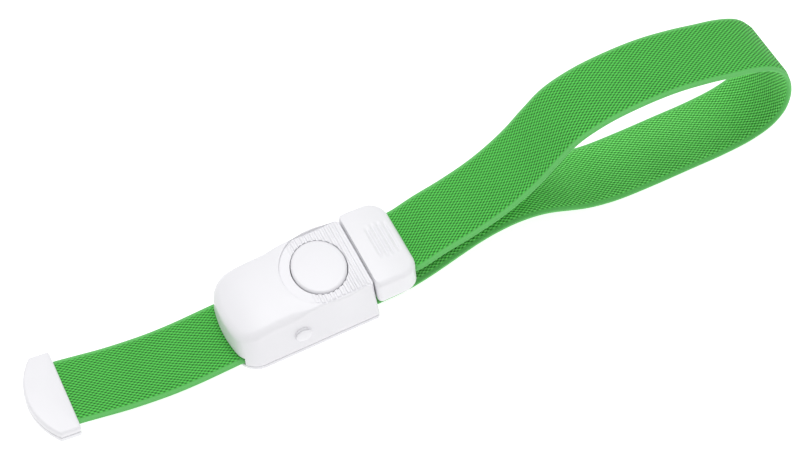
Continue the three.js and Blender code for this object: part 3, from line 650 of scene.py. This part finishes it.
def make_button():
    count = 200
    turn = np.linspace(0, 2 * math.pi, count, endpoint=False)
    bottom = TONGUE_TOP + SEAT_GAP + BUTTON_TRAVEL

    def ring(inset, z):
        return np.stack([BUTTON_X + (BUTTON_HALF_X - inset) * np.cos(turn),
                         (BUTTON_HALF_Y - inset) * np.sin(turn), np.full(count, z)], axis=1)

    def scaled(share, z):
        return np.stack([BUTTON_X + share * (BUTTON_HALF_X - BUTTON_RIM) * np.cos(turn),
                         share * (BUTTON_HALF_Y - BUTTON_RIM) * np.sin(turn), np.full(count, z)], axis=1)

    edge_top = BUTTON_TOP - BUTTON_DOME
    rings = [scaled(share, BUTTON_TOP - 2.2) for share in (0.03, 0.4, 0.8, 0.97)]
    rings += [ring(BUTTON_WALL, BUTTON_TOP - 2.5), ring(BUTTON_WALL, bottom)]
    rings += [ring(0.15, bottom), ring(0, bottom + 0.15)]
    rings += [ring(0, z) for z in np.linspace(bottom + 0.6, edge_top - BUTTON_RIM + 0.1, 4)]
    for angle in np.linspace(0, math.pi / 2, 9)[1:]:
        inset = BUTTON_RIM * (1 - math.cos(angle))
        rings.append(ring(inset, edge_top - BUTTON_RIM * (1 - math.sin(angle)) + 0.1))
    for share in (0.97, 0.9, 0.8, 0.65, 0.5, 0.35, 0.2, 0.08):
        rings.append(scaled(share, edge_top + 0.1 + BUTTON_CROWN * (1 - share ** 2)))
    button = skin("push_button", rings, sharp_angle=50)
    foot_x = BUTTON_X - FOOT_OFFSET
    inside_top = BUTTON_TOP - 1.7
    combine(button, block(foot_x - FOOT_HALF_X, foot_x + FOOT_HALF_X, -FOOT_HALF_Y, FOOT_HALF_Y,
                          button_low.z, inside_top), "UNION")
    stem_x = BUTTON_X + STEM_OFFSET
    stem_sides = 48
    angles = np.linspace(0, 2 * math.pi, stem_sides, endpoint=False)
    base = bottom - 1
    rise = (inside_top - base) / 5
    stem = [(0.01, 0), (1.85, 0), (2, 0.15), (2, 5), (0.01, 5)]
    tool = skin("tool", [np.stack([stem_x + r * np.cos(angles), r * np.sin(angles),
                                   np.full(stem_sides, base + z * rise)], axis=1) for r, z in stem])
    combine(button, tool, "UNION")
    for side in (-1, 1):
        x0, x1 = sorted((BUTTON_X + side * (BUTTON_HALF_X - 0.7),
                         BUTTON_X + side * (BUTTON_HALF_X + 1.1)))
        combine(button, block(x0, x1, -LUG_HALF_Y, LUG_HALF_Y, bottom + 0.02, bottom + 0.7), "UNION")
    give(button, "button", "white_plastic", WHITE)
    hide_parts("release_button")


make_button()


# ---------- Axle with its domed heads ----------

def make_axle():
    swell = AXLE_HEAD_RISE - AXLE_HEAD_BRIM
    dome = [(AXLE_HEAD * math.cos(a), AXLE_HEAD_BRIM + swell * math.sin(a))
            for a in np.linspace(0, math.pi / 2, 12)[:-1]]
    dome.append((0.02, AXLE_HEAD_RISE))
    seat = AXLE_SEAT + AXLE_HEAD_STAND
    far_end = [(0.01, AXLE_SEAT), (AXLE_RADIUS - 0.15, AXLE_SEAT), (AXLE_RADIUS, AXLE_SEAT - 0.15)]
    near_head = [(AXLE_RADIUS, -seat), (AXLE_HEAD - 0.1, -seat)] + [(r, -seat - t) for r, t in dome]
    axle = lathe_y("axle_pin", far_end + near_head, AXLE_X, AXLE_Z)
    give(axle, "buckle", "white_plastic", WHITE)
    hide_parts("clamp_axle")
    far_head = [(0.01, seat), (AXLE_HEAD - 0.1, seat)] + [(r, seat + t) for r, t in dome]
    cap = lathe_y("axle_end_cap", far_head, AXLE_X, AXLE_Z)
    give(cap, "buckle", "white_plastic", WHITE)
    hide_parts("axle_cap")


make_axle()


# ---------- Clip cover ----------

# These are the visual model's own
GRIP_GROOVES = 4
GRIP_PITCH = 2.0
GRIP_INSET = 2.9      # from the last groove to the clip's end
GRIP_HALF = 8.3
GRIP_DEPTH = 0.45
GRIP_FADE = 3.0       # length over which each groove runs out
GRIP_SHORTER = 0.7    # each groove's half length, less than the next one's towards the middle
CLIP_SEAM_CORNER = 1.6


def clip_plan(inset, edge=0.0):
    return rounded_plan(CLIP_START + inset + min(edge, CLIP_SEAM_EDGE), CLIP_END - inset - edge,
                        CLIP_HALF - inset - edge, max(CLIP_SEAM_CORNER - inset, 0.3),
                        max(CLIP_CORNER - inset - edge, 1))


def clip_top(x, y):
    along = np.maximum(0, (x - CLIP_START - CLIP_LEVEL) / (CLIP_END - CLIP_START - CLIP_LEVEL))
    return CLIP_TOP - CLIP_CROWN * (y / CLIP_HALF) ** 2 - CLIP_TOP_DROP * along ** 2


def clip_surface(x, y):
    """The clip's top with a row of soft grip grooves, longest in the middle of the row."""
    middle = (GRIP_GROOVES - 1) / 2
    grip_x = CLIP_END - GRIP_INSET - GRIP_PITCH * middle
    phase = (x - grip_x) / GRIP_PITCH + middle
    number = np.clip(np.round(phase), 0, GRIP_GROOVES - 1)
    away = np.abs(phase - number)
    half = GRIP_HALF - GRIP_SHORTER * np.abs(number - middle)
    groove = ease(1 - 2 * away) * ease((half - np.abs(y)) / GRIP_FADE)
    return clip_top(x, y) - GRIP_DEPTH * groove


def make_clip_cover():
    centre = (CLIP_START + CLIP_END) / 2 + 1
    bridge_half = TONGUE_HALF + SEAT_GAP
    angles = ray_angles(520, centre, [(CLIP_END - 1.5, CHANNEL_HALF), (CLIP_END - 1.5, -CHANNEL_HALF),
                                      (CLIP_START, bridge_half), (CLIP_START, -bridge_half)])
    cos, sin = np.cos(angles), np.sin(angles)
    rim = polar(clip_plan(0, CLIP_EDGE), centre, angles)
    outline = polar(clip_plan(0), centre, angles)
    rings = [ring_at(rim * share, angles, centre, clip_surface) for share in np.linspace(0.015, 1, 88)]
    for turn in np.linspace(0, math.pi / 2, 10)[1:]:
        inset = CLIP_EDGE * (1 - math.sin(turn))
        reach = polar(clip_plan(0, inset), centre, angles)
        drop = CLIP_EDGE * (1 - math.cos(turn))
        rings.append(ring_at(reach, angles, centre, lambda x, y: clip_top(x, y) - drop))
    edge_z = rings[-1][:, 2]
    x, y = centre + outline * cos, outline * sin
    bottom = np.where((np.abs(y) < CHANNEL_HALF) & (x > centre),
                      LOOP_ROUTE[0][1] + WEB_THICKNESS + 2 * SEAT_GAP, CLIP_BOTTOM)
    bottom = np.where((np.abs(y) < bridge_half) & (x < CLIP_START + CLIP_WALL), BRIDGE_TOP, bottom)
    foot_round = 0.2
    for t in (0.25, 0.5, 0.75):
        rings.append(ring_at(outline, angles, centre, edge_z + t * (bottom + foot_round - edge_z)))
    rings.append(ring_at(outline, angles, centre, bottom + foot_round))
    rings.append(ring_at(outline - 0.3 * foot_round, angles, centre, bottom + 0.3 * foot_round))
    rings.append(ring_at(outline - foot_round, angles, centre, bottom))
    inner = polar(clip_plan(CLIP_WALL), centre, angles)
    rings.append(ring_at(inner, angles, centre, bottom))
    inner_top = CLIP_TOP - CLIP_TOP_DROP - CLIP_CROWN - CLIP_WALL - GRIP_DEPTH
    rings.append(ring_at(inner, angles, centre, inner_top - 0.4))
    rings.append(ring_at(inner - 0.4, angles, centre, inner_top))
    for share in (0.7, 0.35, 0.02):
        rings.append(ring_at(inner * share, angles, centre, inner_top))
    cover = skin("clip_shell", rings, sharp_angle=42)
    give(cover, "clip", "white_plastic", WHITE)
    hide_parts("clip_cover")


make_clip_cover()


# ---------- Pieces that keep the CAD's shape, with their edges eased ----------

def refine(node, name, body, slot, material, width):
    """A copy of a CAD piece with its flat faces cleaned and its edges rounded."""
    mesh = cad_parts[node].data.copy()
    mesh.name = name
    form = bmesh.new()
    form.from_mesh(mesh)
    bmesh.ops.remove_doubles(form, verts=form.verts, dist=1e-7)
    bmesh.ops.dissolve_limit(form, angle_limit=math.radians(0.5), verts=form.verts, edges=form.edges)
    form.to_mesh(mesh)
    form.free()
    piece = bpy.data.objects.new(name, mesh)
    bpy.context.scene.collection.objects.link(piece)
    bevel = piece.modifiers.new("edges", "BEVEL")
    bevel.width = width * MM
    bevel.segments = 2
    bevel.limit_method = "ANGLE"
    bevel.angle_limit = math.radians(35)
    view = bpy.context.evaluated_depsgraph_get()
    piece.data = bpy.data.meshes.new_from_object(piece.evaluated_get(view))
    piece.modifiers.clear()
    piece.data.name = name
    piece.data.shade_smooth()
    piece.data.set_sharp_from_angle(angle=math.radians(30))
    give(piece, body, slot, material)
    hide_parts(node)
    return piece


refine("housing_base", "base_plate", "buckle", "white_plastic", WHITE, 0.15)
refine("clip_base", "clip_plate", "clip", "white_plastic", WHITE, 0.12)
refine("inner_frame", "carrier_frame", "buckle", "inner_plastic", INNER, 0.12)


def make_leaf():
    """The leaf, which the button's foot presses down."""
    leaf = refine("latch_leaf", "leaf_latch", "buckle", "spring_steel", STEEL, 0.06)
    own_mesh(leaf)


make_leaf()
refine("clamp_lever", "toothed_clamp", "clamp", "inner_plastic", INNER, 0.08)


def make_bar():
    half = bar_high.y
    radius = (bar_high.x - bar_low.x) / 2
    outline = [(0.01, -half), (radius - 0.15, -half), (radius, -half + 0.15),
               (radius, half - 0.15), (radius - 0.15, half), (0.01, half)]
    bar = lathe_y("eye_bar", outline, BAR_X, BAR_Z, 40)
    give(bar, "clip", "spring_steel", STEEL)
    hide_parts("anchor_bar")


make_bar()


# ---------- Springs ----------

def coil(name, place, turns, radius, wire, node):
    """A round wire wound about an axis; place gives points from (across, along, across, share)."""
    steps = turns * 40
    sides = 12
    turn = np.linspace(0, 2 * math.pi, sides, endpoint=False)
    rings = []
    for i in range(steps + 1):
        angle = 2 * math.pi * turns * i / steps
        out = radius + wire * np.cos(turn)
        rings.append(place(out * math.cos(angle), wire * np.sin(turn), out * math.sin(angle), i / steps))
    spring = skin(name, rings)
    give(spring, "buckle", "spring_steel", STEEL)
    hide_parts(node)
    return spring


SPRING_TURNS = 4
PUSH_WIRE = 0.3       # radius of the wire
RETURN_WIRE = 0.25
RETURN_RADIUS = 1.75


def make_push_spring():
    low, high = corners("button_spring")
    start, end = low.z + PUSH_WIRE, high.z - PUSH_WIRE
    x = (low.x + high.x) / 2
    radius = (high.y - low.y) / 2 - PUSH_WIRE

    def place(u, w, v, t):
        return np.stack([x + u, v, start + (end - start) * t + w], axis=1)

    spring = coil("push_spring", place, SPRING_TURNS, radius, PUSH_WIRE, "button_spring")
    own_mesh(spring)


def make_return_spring():
    low, high = corners("clamp_spring")
    start, end = low.y + RETURN_WIRE, high.y - RETURN_WIRE

    def place(u, w, v, t):
        return np.stack([AXLE_X + u, start + (end - start) * t + w, AXLE_Z + v], axis=1)

    coil("return_spring", place, SPRING_TURNS, RETURN_RADIUS, RETURN_WIRE, "clamp_spring")


make_push_spring()
make_return_spring()


# ---------- Webbing ----------

def smooth_line(points, step):
    """An even walk along a smooth curve through points in the XZ plane (centripetal Catmull-Rom)."""
    points = np.asarray(points, float)
    padded = np.vstack([2 * points[0] - points[1], points, 2 * points[-1] - points[-2]])
    walk = []
    for i in range(1, len(padded) - 2):
        p0, p1, p2, p3 = padded[i - 1:i + 3]
        t0 = 0.0
        t1 = t0 + np.linalg.norm(p1 - p0) ** 0.5
        t2 = t1 + np.linalg.norm(p2 - p1) ** 0.5
        t3 = t2 + np.linalg.norm(p3 - p2) ** 0.5
        t = np.linspace(t1, t2, 40, endpoint=False)[:, None]
        a1 = (t1 - t) / (t1 - t0) * p0 + (t - t0) / (t1 - t0) * p1
        a2 = (t2 - t) / (t2 - t1) * p1 + (t - t1) / (t2 - t1) * p2
        a3 = (t3 - t) / (t3 - t2) * p2 + (t - t2) / (t3 - t2) * p3
        b1 = (t2 - t) / (t2 - t0) * a1 + (t - t0) / (t2 - t0) * a2
        b2 = (t3 - t) / (t3 - t1) * a2 + (t - t1) / (t3 - t1) * a3
        walk.append((t2 - t) / (t2 - t1) * b1 + (t - t1) / (t2 - t1) * b2)
    line = np.vstack(walk + [points[-1:]])
    length = np.concatenate([[0], np.cumsum(np.linalg.norm(np.diff(line, axis=0), axis=1))])
    stations = np.linspace(0, length[-1], max(2, round(length[-1] / step)) + 1)
    return np.stack([np.interp(stations, length, line[:, k]) for k in (0, 1)], axis=1), stations


EDGE_POINTS = 7
EDGE_TAPER = 2.6      # the woven edges are thinner than the middle
EDGE_THINNING = 0.6   # share of the thickness that they lose
EDGE_WIDTH = 0.9      # of the rounded strip along each edge
EYE_SQUEEZED = 1.35   # the webbing's thickness round the clip's bar
EYE_GAP = 0.25
EYE_FROM, EYE_TO, EYE_STEP = 35, 270, 23.5


def webbing_section():
    """Once round the webbing: (across, height as a share of half the thickness, on a face, side)."""
    columns = round(2 * (WEB_HALF - EDGE_WIDTH) / (WEAVE_ACROSS / 3))
    across = np.linspace(-WEB_HALF + EDGE_WIDTH, WEB_HALF - EDGE_WIDTH, columns + 1)
    flat = 1 - EDGE_THINNING * ease((np.abs(across) - WEB_HALF + EDGE_TAPER) / EDGE_TAPER)
    section = [(y, share, 1.0, 1) for y, share in zip(across, flat)]
    for angle in np.linspace(math.pi / 2, -math.pi / 2, EDGE_POINTS)[1:-1]:
        section.append((WEB_HALF - EDGE_WIDTH + EDGE_WIDTH * math.cos(angle) ** 0.7,
                        flat[0] * math.sin(angle), 0.0, 0))
    section += [(y, -share, 1.0, -1) for y, share in zip(across[::-1], flat[::-1])]
    for angle in np.linspace(-math.pi / 2, math.pi / 2, EDGE_POINTS)[1:-1]:
        section.append((-WEB_HALF + EDGE_WIDTH - EDGE_WIDTH * math.cos(angle) ** 0.7,
                        flat[0] * math.sin(angle), 0.0, 0))
    return np.array(section)


def weave_height(along, across):
    """0 on the threads, 1 in the holes between them."""
    a = 2 * np.pi * along / WEAVE_ALONG
    b = 2 * np.pi * across / WEAVE_ACROSS
    level = (FALLING_SHARE * np.cos(a - b) + RISING_SHARE * np.cos(a + b) + 1) / 2
    return level ** 2


def make_webbing(name, line, stations, thickness, faces):
    """One run of webbing; faces gives the material index of its upper and lower sides."""
    section = webbing_section()
    count = len(section)
    ahead = np.gradient(line, stations, axis=0)
    ahead /= np.linalg.norm(ahead, axis=1)[:, None]
    up = np.stack([-ahead[:, 1], ahead[:, 0]], axis=1)
    relief = 0.16
    points, marks = [], []
    for i in range(len(line)):
        across, share, on_face, side = section.T
        inward = np.clip((WEB_HALF - 1.1 - np.abs(across)) / 0.5, 0, 1) * on_face
        height = share * thickness[i] / 2 - side * relief * weave_height(stations[i], across) * inward
        x = line[i, 0] + up[i, 0] * height
        z = line[i, 1] + up[i, 1] * height
        points.append(np.stack([x, across, z], axis=1))
        marks.append(np.stack([np.full(count, stations[i]), across, np.clip(inward * 1.5, 0, 1)], axis=1))
    piece = skin(name, points, sharp_angle=60)
    mesh = piece.data
    stored = np.zeros((len(mesh.vertices), 3))
    marks = np.vstack(marks)
    stored[:len(marks)] = marks
    layer = mesh.attributes.new("weave", "FLOAT_VECTOR", "POINT")
    layer.data.foreach_set("vector", stored.ravel())
    columns = (count - 2 * (EDGE_POINTS - 2)) // 2
    upper_end = columns + (EDGE_POINTS - 2) // 2
    index = np.zeros(len(mesh.polygons), int)
    rows = len(line) - 1
    column = np.arange(count)
    lower = (column >= upper_end) & (column < upper_end + columns + EDGE_POINTS - 2)
    index[:rows * count] = np.tile(np.where(lower, faces[1], faces[0]), rows)
    mesh.polygons.foreach_set("material_index", index.astype(np.int32))
    return piece


def make_straps():
    step = WEAVE_ALONG / 3
    half = WEB_THICKNESS / 2
    squeezed = EYE_SQUEEZED
    wrap = (bar_high.x - bar_low.x) / 2 + EYE_GAP + squeezed / 2
    eye = [(BAR_X + wrap * math.cos(a), BAR_Z + wrap * math.sin(a))
           for a in np.radians(np.arange(EYE_FROM, EYE_TO + 1, EYE_STEP))]
    loop = eye + [(BAR_X + 3.4, LOOP_ROUTE[0][1] + half - 0.1)]
    loop += [(HALF_LENGTH + x, z + half) for x, z in LOOP_ROUTE]
    loop += [(HALF_LENGTH + 3, WEB_CENTRE), (HALF_LENGTH - 2.5, WEB_CENTRE)]
    line, stations = smooth_line(loop, step)
    eye_length = wrap * math.radians(EYE_TO - EYE_FROM)
    thickness = squeezed + (WEB_THICKNESS - squeezed) * ease((stations - eye_length) / 4)
    bight = int(np.argmax(line[:, 0]))
    rest = bight + int(np.argmin(line[bight:, 1]))
    runs = (("strap_upper", slice(0, bight + 1)), ("strap_bight", slice(bight, rest + 1)),
            ("strap_lower", slice(rest, None)))
    for name, part in runs:
        # The line runs clockwise over the loop, so its upper side is the loop's outer face
        piece = make_webbing(name, line[part], stations[part], thickness[part], (0, 1))
        # The lower side of each loop run takes the brighter copy, with its painted light and shade
        give(piece, None if name == "strap_upper" else "buckle", "green_webbing", GREEN, GREEN_INNER_PAINTED_LIGHT)
        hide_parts("strap_loop")
        if name == "strap_upper":
            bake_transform(piece)
        elif name == "strap_bight":
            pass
        else:
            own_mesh(piece)
    tail = [(HALF_LENGTH - 2.8, WEB_CENTRE), (0, WEB_CENTRE), (-HALF_LENGTH, WEB_CENTRE)]
    tail += [(x - HALF_LENGTH, z + half) for x, z in TAIL_ROUTE]
    tail += [(TAB_EDGE_X, TAB_EDGE_Z), (TAB_EDGE_X - TAB_OVERLAP * math.cos(TAB_TILT),
                                        TAB_EDGE_Z + TAB_OVERLAP * math.sin(TAB_TILT))]
    line, stations = smooth_line(tail, step)
    piece = make_webbing("tail_webbing", line, stations, np.full(len(line), WEB_THICKNESS), (0, 0))
    give(piece, "strap_end", "green_webbing", GREEN, GREEN_INNER_PAINTED_LIGHT)
    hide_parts("strap_tail")


make_straps()


# ---------- End tab ----------

def tab_plan(inset):
    """Its straight edge at x = 0 and its bowed edge towards -X."""
    half = TAB_HALF - inset
    radius = (TAB_HALF ** 2 + TAB_BULGE ** 2) / (2 * TAB_BULGE)
    centre = -TAB_SIDE - TAB_BULGE + radius
    reach = math.asin(half / radius)
    arc = [(centre + (radius - inset) * math.cos(a), radius * math.sin(a))
           for a in np.linspace(math.pi - reach, math.pi + reach, 120)]
    corner = max(0.6 - inset, 0.15)
    side = [(x, -half) for x in np.linspace(arc[-1][0], -inset - corner, 30)[1:]]
    turn = [(-inset - corner + corner * math.cos(a), -half + corner + corner * math.sin(a))
            for a in np.linspace(-math.pi / 2, 0, 8)]
    near = side + turn
    far = [(x, -y) for x, y in near[::-1]]
    edge = [(-inset, y) for y in np.linspace(-half + corner, half - corner, 60)[1:-1]]
    return np.array(arc + near + edge + far)


def make_tab(side, name, node):
    centre = -(TAB_SIDE + TAB_BULGE) / 2
    angles = ray_angles(360, centre, [])
    outer = TAB_HALF_THICKNESS + SEAT_GAP / 2
    rim = polar(tab_plan(TAB_EDGE), centre, angles)

    def height(share):
        return outer - TAB_CROWN * share ** 2

    rings = [ring_at(rim * share, angles, centre, height(share)) for share in np.linspace(0.02, 1, 14)]
    for turn in np.linspace(0, math.pi / 2, 8)[1:]:
        reach = polar(tab_plan(TAB_EDGE * (1 - math.sin(turn))), centre, angles)
        rings.append(ring_at(reach, angles, centre, outer - TAB_CROWN - TAB_EDGE * (1 - math.cos(turn))))
    outline = polar(tab_plan(0), centre, angles)
    rings.append(ring_at(outline, angles, centre, SEAT_GAP / 2 + 0.5))
    rings.append(ring_at(outline, angles, centre, SEAT_GAP / 2 + 0.1))
    rings.append(ring_at(outline - 0.1, angles, centre, SEAT_GAP / 2))
    rings.append(ring_at(outline * 0.03, angles, centre, SEAT_GAP / 2))
    shell = skin(name, rings, sharp_angle=42)
    reach = TAB_OVERLAP + SEAT_GAP
    pocket = block(-reach, 1, -CHANNEL_HALF, CHANNEL_HALF, -1, WEB_THICKNESS / 2 + SEAT_GAP)
    combine(shell, pocket, "DIFFERENCE")
    place = Matrix.Translation((TAB_EDGE_X * MM, 0, TAB_EDGE_Z * MM)) @ Matrix.Rotation(TAB_TILT, 4, "Y")
    if side < 0:
        place = place @ Matrix.Rotation(math.pi, 4, "X")
    shell.data.transform(place)
    give(shell, "strap_end", "white_plastic", WHITE)
    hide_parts(node)


make_tab(1, "tab_upper_shell", "end_tab_top")
make_tab(-1, "tab_lower_shell", "end_tab_bottom")


# ---------- Floor and light ----------

FLOOR_HALF = 1.5      # these two and the lit point are in metres
FLOOR_Z = -0.0002
FLOOR_GLOW = 0.82
SKY_STRENGTH = 0.60
LIT_POINT = (0.04, 0, 0)


def make_stage():
    corner_signs = ((-1, -1), (1, -1), (1, 1), (-1, 1))
    mesh = bpy.data.meshes.new("floor")
    points = [(x * FLOOR_HALF, y * FLOOR_HALF, FLOOR_Z) for x, y in corner_signs]
    mesh.from_pydata(points, [], [(0, 1, 2, 3)])
    floor = bpy.data.objects.new("floor", mesh)
    bpy.context.scene.collection.objects.link(floor)
    floor.data.materials.append(floor_material())


def make_light(name, place, energy, size):
    """A square lamp at a place in metres, turned to the object."""
    data = bpy.data.lights.new(name, "AREA")
    data.energy = energy
    data.size = size
    lamp = bpy.data.objects.new(name, data)
    bpy.context.scene.collection.objects.link(lamp)
    lamp.location = place
    lamp.rotation_euler = (Vector(LIT_POINT) - Vector(place)).to_track_quat("-Z", "Y").to_euler()


def make_lights():
    world = bpy.data.worlds.new("studio")
    world.use_nodes = True
    world.node_tree.nodes["Background"].inputs[0].default_value = (1, 1, 1, 1)
    world.node_tree.nodes["Background"].inputs[1].default_value = SKY_STRENGTH
    bpy.context.scene.world = world
    bpy.context.scene.view_settings.view_transform = "Standard"
    make_light("key", (0.0, 0.28, 0.95), energy=5.2, size=0.7)
    make_light("fill", (0.3, -0.7, 0.6), energy=1.3, size=0.8)


make_stage()
make_lights()
